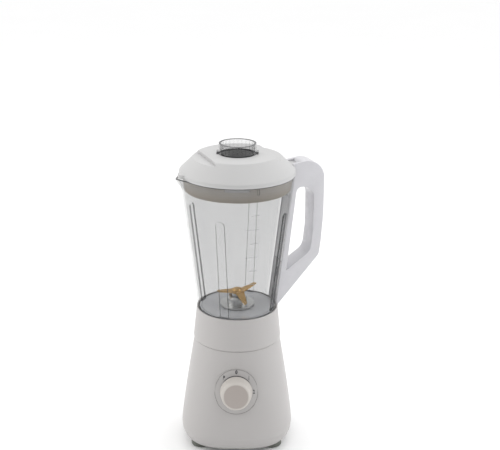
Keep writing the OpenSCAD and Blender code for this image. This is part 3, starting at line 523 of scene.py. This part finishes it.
def rounded_moulding(node, name, body, slot_name, degrees=24, edge_round=0.0, look=None):
    """A moulding that stands for its CAD node, shaded smooth, with its outer edges rounded when edge_round is
    given.
    """
    piece = merged_copy(node)
    if edge_round:
        pick(piece)
        bpy.ops.object.mode_set(mode="EDIT")
        bpy.ops.mesh.select_all(action="SELECT")
        bpy.ops.mesh.dissolve_limited(angle_limit=math.radians(0.5))
        bpy.ops.object.mode_set(mode="OBJECT")
        bevel = piece.modifiers.new("edges", "BEVEL")
        bevel.limit_method = "ANGLE"
        bevel.angle_limit = math.radians(38)
        bevel.width = edge_round
        bevel.segments = 3
        bevel.use_clamp_overlap = True
        piece.modifiers.new("even_shade", "WEIGHTED_NORMAL").keep_sharp = True
        apply_all(piece)
    settle(piece, name, body, finish[look or slot_name])
    smooth(piece, degrees)
    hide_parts(node)
    return piece


housing = rounded_moulding("base_housing", "housing_moulding", "base", "base_white")
rounded_moulding("bottom_cover", "cover_moulding", "base", "base_white")
rounded_moulding("top_deck", "deck_moulding", "base", "base_white", 30, 0.0007, "deck_white")
rounded_moulding("jar_collar", "collar_moulding", "jar_unit", "base_white", 30, 0.0006)
rounded_moulding("lid", "lid_moulding", "lid_unit", "lid_white", 30, 0.0007)
rounded_moulding("speed_knob", "knob_moulding", "knob", "knob_white", 30, 0.0005)

jar_wall = merged_copy("jar")
settle(jar_wall, "jar_wall", "jar_unit", jar_clear)
smooth(jar_wall, 28)
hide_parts("jar")


# ------------------------------------------------------------------ handle

HANDLE_HALF = 0.013
HANDLE_ROUND = 0.0038
HANDLE_MERGE = 0.00003
HEAD_TOP = RIM_Z + 0.002
ON_SIDE = 0.0001


def is_hand_edge(ends):
    """An outline on the handle's side that a hand touches: off the wall, over the foot, outside the head."""
    on_side = all(abs(abs(handle_across(p.x, p.y)) - HANDLE_HALF) < ON_SIDE for p in ends)
    off_wall = all(handle_out(p.x, p.y) > glass_r(p.z) + 0.0045 for p in ends)
    over_foot = all(p.z > COLLAR_TOP + 0.008 for p in ends)
    in_head = all(p.z > HEAD_TOP - 0.003 and handle_out(p.x, p.y) < RIM_R + 0.003 for p in ends)
    return on_side and off_wall and over_foot and not in_head


def softened_handle():
    """The handle with its long outlines rounded, as a hand finds them."""
    piece = merged_copy("jar_handle")
    pick(piece)
    bpy.ops.object.mode_set(mode="EDIT")
    bpy.ops.mesh.select_all(action="SELECT")
    bpy.ops.mesh.dissolve_limited(angle_limit=math.radians(0.5))
    bpy.ops.mesh.select_all(action="DESELECT")
    bpy.ops.object.mode_set(mode="OBJECT")
    mesh = piece.data
    for edge in mesh.edges:
        edge.select = is_hand_edge([mesh.vertices[i].co for i in edge.vertices])
    bpy.ops.object.mode_set(mode="EDIT")
    bpy.ops.mesh.select_mode(type="EDGE")
    bpy.ops.mesh.bevel(offset=HANDLE_ROUND, segments=4, profile=0.5, clamp_overlap=True)
    bpy.ops.mesh.select_all(action="SELECT")
    bpy.ops.mesh.remove_doubles(threshold=HANDLE_MERGE)
    bpy.ops.mesh.dissolve_degenerate(threshold=HANDLE_MERGE)
    bpy.ops.object.mode_set(mode="OBJECT")
    piece.modifiers.new("even_shade", "WEIGHTED_NORMAL").keep_sharp = True
    apply_all(piece)
    settle(piece, "handle_moulding", "jar_unit", finish["handle_white"])
    smooth(piece, 32)
    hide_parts("jar_handle")
    return piece


softened_handle()

# Heel under the handle's foot, in the handle's plane: millimetres from the axis and over the collar
HEEL = [(47.8, -11.9), (52.2, -11.9), (54.6, -5.0), (56.0, 0.1), (57.0, 6.1), (52.0, 0.3), (51.4, 0.0),
        (51.4, -7.6), (47.8, -10.3)]
LINK_WAY = [(45.0, -20.0), (50.0, -20.0), (50.0, -15.4), (54.8, -0.9), (55.6, 8.0), (45.0, 8.0)]
HEEL_WIDTH = 8.8
LINK_WAY_WIDTH = 3.2


def plane_prism(outline, width):
    """An outline in the handle's plane, drawn out sideways."""
    clear_selection()
    bpy.ops.mesh.primitive_circle_add(vertices=len(outline), fill_type="NGON")
    piece = bpy.context.object
    axis = Vector((math.cos(HANDLE_AZ), math.sin(HANDLE_AZ), 0))
    side = Vector((-math.sin(HANDLE_AZ), math.cos(HANDLE_AZ), 0))
    for vertex, (out, up) in zip(piece.data.vertices, outline):
        vertex.co = axis * out * MM - side * width * MM / 2 + Vector((0, 0, COLLAR_TOP + up * MM))
    bpy.ops.object.mode_set(mode="EDIT")
    bpy.ops.mesh.select_all(action="SELECT")
    bpy.ops.mesh.extrude_region_move(TRANSFORM_OT_translate={"value": side * width * MM})
    bpy.ops.mesh.select_all(action="SELECT")
    bpy.ops.mesh.normals_make_consistent(inside=False)
    bpy.ops.object.mode_set(mode="OBJECT")
    return piece


def handle_heel():
    """Moulded heel that closes the way of the safety link below the handle's foot."""
    cutter = plane_prism(LINK_WAY, LINK_WAY_WIDTH)
    piece = plane_prism(HEEL, HEEL_WIDTH)
    cut = piece.modifiers.new("link_way", "BOOLEAN")
    cut.operation = "DIFFERENCE"
    cut.solver = "EXACT"
    cut.object = cutter
    bevel = piece.modifiers.new("edges", "BEVEL")
    bevel.limit_method = "ANGLE"
    bevel.width = 0.0005
    bevel.segments = 2
    apply_all(piece)
    bpy.data.objects.remove(cutter)
    settle(piece, "handle_heel", "jar_unit", finish["handle_white"])
    smooth(piece, 30)


handle_heel()


# -------------------------------------------------------------- dial marks

dial_up = Vector((0, 0, 1)).cross(dial_axis).cross(dial_axis).normalized() * -1
dial_right = dial_up.cross(dial_axis).normalized()
MARK_R = 0.0252
MARK_SIZE = 0.0070
MARK_BOLDER = 0.00026
MARK_MERGE = 0.00003
DISC_EDGE_R = 0.0283
DISC_EDGE_WIDTH = 0.00045
KNOB_GAP_R = 0.0198
KNOB_GAP_WIDTH = 0.0010


def disc_ring(radius, width, name, material):
    """A thin dark ring laid onto the dial's disc: painted shade of the groove at the disc's edge, and painted
    shadow in the gap round the knob, one ring for each.
    """
    clear_selection()
    bpy.ops.mesh.primitive_circle_add(vertices=128, radius=radius)
    piece = bpy.context.object
    bpy.ops.object.mode_set(mode="EDIT")
    bpy.ops.mesh.extrude_edges_move()
    grown = 1 + width / radius
    bpy.ops.transform.resize(value=(grown, grown, 1))
    bpy.ops.object.mode_set(mode="OBJECT")
    spot = dial_centre + dial_axis * 0.004
    for vertex in piece.data.vertices:
        vertex.co = spot + dial_right * vertex.co.x + dial_up * vertex.co.y
    wrap = piece.modifiers.new("onto_disc", "SHRINKWRAP")
    wrap.target = housing
    wrap.wrap_method = "NEAREST_SURFACEPOINT"
    wrap.wrap_mode = "ABOVE_SURFACE"
    wrap.offset = 0.00008
    thick = piece.modifiers.new("depth", "SOLIDIFY")
    thick.thickness = 0.00014
    apply_all(piece)
    return settle(piece, name, "base", material)


def dial_mark(text, degrees, name):
    """A printed sign on the dial's disc, laid onto its curve."""
    clear_selection()
    bpy.ops.object.text_add()
    piece = bpy.context.object
    piece.data.body = text
    piece.data.size = MARK_SIZE
    piece.data.align_x = "CENTER"
    piece.data.align_y = "CENTER"
    piece.data.offset = MARK_BOLDER
    piece.data.resolution_u = 4
    bpy.ops.object.convert(target="MESH")
    piece = bpy.context.object
    turn = math.radians(degrees)
    round_dial = dial_right * math.sin(turn) + dial_up * math.cos(turn)
    spot = dial_centre + dial_axis * 0.012 + MARK_R * round_dial
    for vertex in piece.data.vertices:
        vertex.co = spot + dial_right * vertex.co.x + dial_up * vertex.co.y
    pick(piece)
    bpy.ops.object.mode_set(mode="EDIT")
    bpy.ops.mesh.select_all(action="SELECT")
    bpy.ops.mesh.remove_doubles(threshold=MARK_MERGE)
    bpy.ops.object.mode_set(mode="OBJECT")
    wrap = piece.modifiers.new("onto_disc", "SHRINKWRAP")
    wrap.target = housing
    wrap.wrap_method = "NEAREST_SURFACEPOINT"
    wrap.offset = 0.00012
    wrap.wrap_mode = "ABOVE_SURFACE"
    thick = piece.modifiers.new("ink", "SOLIDIFY")
    thick.thickness = 0.00016
    apply_all(piece)
    return settle(piece, name, "base", print_ink_and_gap_shade)


# Painted shade: a dark ring along the disc's edge groove, and a near-black painted shadow ring in the gap
# round the knob
groove_shade = rubbery("groove_shade", (0.20, 0.19, 0.185), 0.6, 900.0, 0.1)
disc_ring(DISC_EDGE_R, DISC_EDGE_WIDTH, "dial_edge_groove_shade", groove_shade)
disc_ring(KNOB_GAP_R, KNOB_GAP_WIDTH, "knob_gap_shadow_ring", print_ink_and_gap_shade)
dial_mark("P", -45, "dial_mark_pulse")
dial_mark("0", 0, "dial_mark_off")
dial_mark("1", 45, "dial_mark_low")
dial_mark("2", 90, "dial_mark_high")


# -------------------------------------------------------------- graduations

TICK_COUNT = 7
TICK_AZ = -66.0
TICK_LOW = 0.030
TICK_PITCH = 0.018
TICK_SHORT = 9.0
TICK_LONG = 15.0
TICK_WIDTH = 0.0006
INK_GAP = 0.00004
INK_DEPTH = 0.00010


def wall_tick(z, from_az, to_az, width):
    """One printed line round part of the wall."""
    clear_selection()
    start = math.radians(from_az)
    bpy.ops.mesh.primitive_plane_add(size=1)
    piece = bpy.context.object
    for vertex in piece.data.vertices:
        up = width / 2 if vertex.co.y > 0 else -width / 2
        out = INK_DEPTH if vertex.co.x > 0 else 0.0
        r = glass_r(z + up) + INK_GAP + out
        vertex.co = Vector((r * math.cos(start), r * math.sin(start), z + up))
    bpy.ops.object.mode_set(mode="EDIT")
    bpy.ops.mesh.select_all(action="SELECT")
    steps = max(3, int(abs(to_az - from_az) / 2))
    bpy.ops.mesh.spin(steps=steps, angle=math.radians(to_az - from_az), center=(0, 0, 0), axis=(0, 0, 1))
    bpy.ops.mesh.select_all(action="SELECT")
    bpy.ops.mesh.normals_make_consistent(inside=False)
    bpy.ops.object.mode_set(mode="OBJECT")
    return piece


def graduations():
    """A ladder of lines up the wall, every second one long."""
    ticks = []
    for k in range(TICK_COUNT):
        z = COLLAR_TOP + TICK_LOW + TICK_PITCH * k
        length = TICK_LONG if k % 2 == 1 else TICK_SHORT
        ticks.append(wall_tick(z, TICK_AZ, TICK_AZ + length, TICK_WIDTH))
    clear_selection()
    for tick in ticks:
        tick.select_set(True)
    bpy.context.view_layer.objects.active = ticks[0]
    bpy.ops.object.join()
    return settle(ticks[0], "jar_graduations", "jar_unit", scale_ink)


graduations()


# ------------------------------------------------------------------- stage

def pale_floor():
    """A wide white floor that the blender stands on."""
    clear_selection()
    bpy.ops.mesh.primitive_circle_add(vertices=96, radius=14.0, fill_type="NGON", location=(0, 0, -0.0002))
    floor = bpy.context.object
    floor.name = "floor"
    look = Look("pale_floor")
    look.set(Base_Color=look.blend(look.noise(3.0), rgba(0.93, 0.93, 0.93), rgba(0.95, 0.95, 0.95)),
             Roughness=0.75, Specular_IOR_Level=0.2)
    floor.data.materials.append(look.material)


pale_floor()

LIGHT_FRONT = 0.05
LIGHT_SIDE = 0.80
LIGHT_TOP = 1.02
LIGHT_BACK = 0.6
LIGHT_AIM = Vector((0, 0, 0.2))


def studio_light():
    """Soft light all round: strong from above and the sides, weak from the front."""
    world = bpy.data.worlds.new("studio")
    bpy.context.scene.world = world
    world.use_nodes = True
    sky = Nodes(world.node_tree)
    direction = sky.node("ShaderNodeTexCoord", {}, {}, "Generated")
    x, y, z = sky.split(direction)
    strength = LIGHT_FRONT + LIGHT_SIDE * x * x + LIGHT_TOP * z.higher(0.0) + LIGHT_BACK * y.higher(0.0)
    background = sky.tree.nodes["Background"]
    sky.tree.links.new(strength.socket, background.inputs["Strength"])
    background.inputs["Color"].default_value = rgba(1.0, 1.0, 1.0)


studio_light()


def softbox(name, place, size, power, colour=(1, 1, 1)):
    """A rectangular lamp turned to the blender."""
    light = bpy.data.lights.new(name, "AREA")
    light.shape = "RECTANGLE"
    light.size = size[0]
    light.size_y = size[1]
    light.energy = power
    light.color = colour
    lamp = bpy.data.objects.new(name, light)
    bpy.context.scene.collection.objects.link(lamp)
    lamp.location = place
    lamp.rotation_euler = (LIGHT_AIM - Vector(place)).to_track_quat("-Z", "Y").to_euler()


softbox("left_box", (-1.5, -0.3, 0.9), (0.9, 1.4), 6, (1.0, 0.985, 0.965))
softbox("right_box", (1.5, -0.2, 0.9), (0.9, 1.4), 6, (0.965, 0.98, 1.0))
softbox("top_box", (0.1, 0.5, 1.7), (1.2, 1.2), 4)

CAMERA_PLACE = (0.0155, -1.199, 0.690)
CAMERA_PITCH = 18.7
CAMERA_ROLL = 0.4
CAMERA_SENSOR = 36
CAMERA_LENS = 74.16

camera_data = bpy.data.cameras.new("camera")
camera = bpy.data.objects.new("camera", camera_data)
bpy.context.scene.collection.objects.link(camera)
camera.location = CAMERA_PLACE
pitch = Matrix.Rotation(math.radians(90 - CAMERA_PITCH), 3, "X")
roll = Matrix.Rotation(math.radians(CAMERA_ROLL), 3, "Z")
camera.rotation_euler = (pitch @ roll).to_euler()
camera_data.sensor_width = CAMERA_SENSOR
camera_data.lens = CAMERA_LENS
bpy.context.scene.camera = camera
bpy.context.scene.view_settings.view_transform = "Standard"
